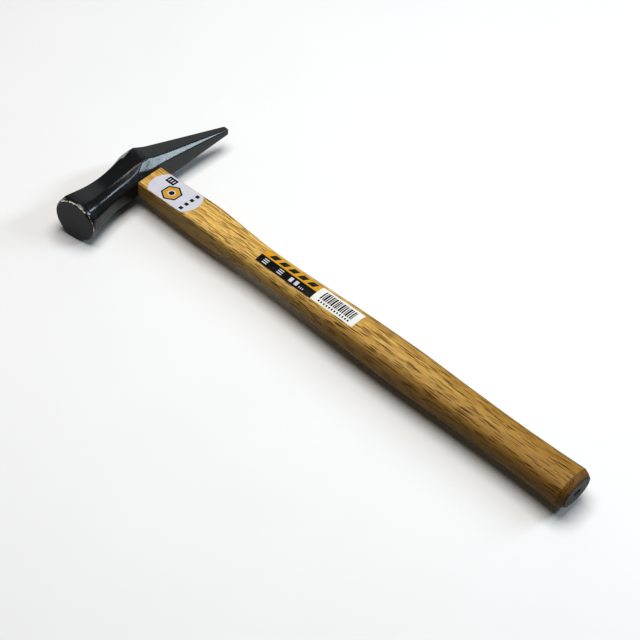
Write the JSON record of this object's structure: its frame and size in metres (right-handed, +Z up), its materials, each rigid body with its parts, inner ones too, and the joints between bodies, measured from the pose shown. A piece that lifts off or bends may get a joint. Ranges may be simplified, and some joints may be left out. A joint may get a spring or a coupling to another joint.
{
  "type": "pick-ended hammer",
  "caption": "Forged hammer with a round striking face, an eight-sided neck and a long square pick, on an oval oak handle with printed film labels.",
  "frame": {"origin": "middle of the base rectangle that the whole hammer lies over, lying on its side with the labels up", "axes": "+X along the handle from the head to the butt, +Y across the handle from the striking face towards the pick, +Z up out of the labelled side"},
  "size_m": [0.3404, 0.1222, 0.0278],
  "materials": {
    "lacquered_steel": "near-black semi-gloss lacquer over forged and ground steel, bare at the rim of the face",
    "oak": "golden oak with short dark pores, satin clear varnish",
    "wedge_wood": "bare end grain",
    "wedge_steel": "plain cut steel",
    "white_film": "glossy printed film",
    "yellow_film": "glossy printed film",
    "sealing_paint": "dark grey sealing paint on end grain"
  },
  "bodies": {
    "root": {"hammer_head": "lacquered_steel", "oak_handle": "oak", "wooden_wedge": "wedge_wood", "steel_wedge": "wedge_steel", "maker_label": "white_film", "size_label": "yellow_film", "butt_sealing_coat": "sealing_paint"}
  },
  "joints": []
}
